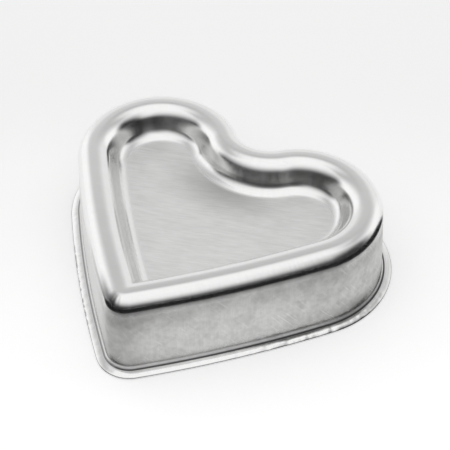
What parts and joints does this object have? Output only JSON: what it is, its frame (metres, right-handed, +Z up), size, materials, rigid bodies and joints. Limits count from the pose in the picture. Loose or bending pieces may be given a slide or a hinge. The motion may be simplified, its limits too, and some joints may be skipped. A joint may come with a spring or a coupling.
{
  "type": "heart cake pan",
  "caption": "Heart-shaped cake pan pressed from thin aluminium sheet, with a narrow flat rim, a drafted wall, a rounded crest and a sunk heart panel, stored standing on its rim.",
  "frame": {"origin": "middle of the part's plan box, on the underside of the rim that the pan stands on", "axes": "+Z up, from the open side to the closed side; tip of the heart towards -Y, cleft towards +Y; +X across the lobes"},
  "size_m": [0.1076, 0.0944, 0.0283],
  "materials": {
    "pressed_aluminium": "satin rolled sheet, polished along the drawn crest, with fine grain and faint scuffs"
  },
  "bodies": {
    "root": {"pressed_heart_pan": "pressed_aluminium"}
  },
  "joints": []
}
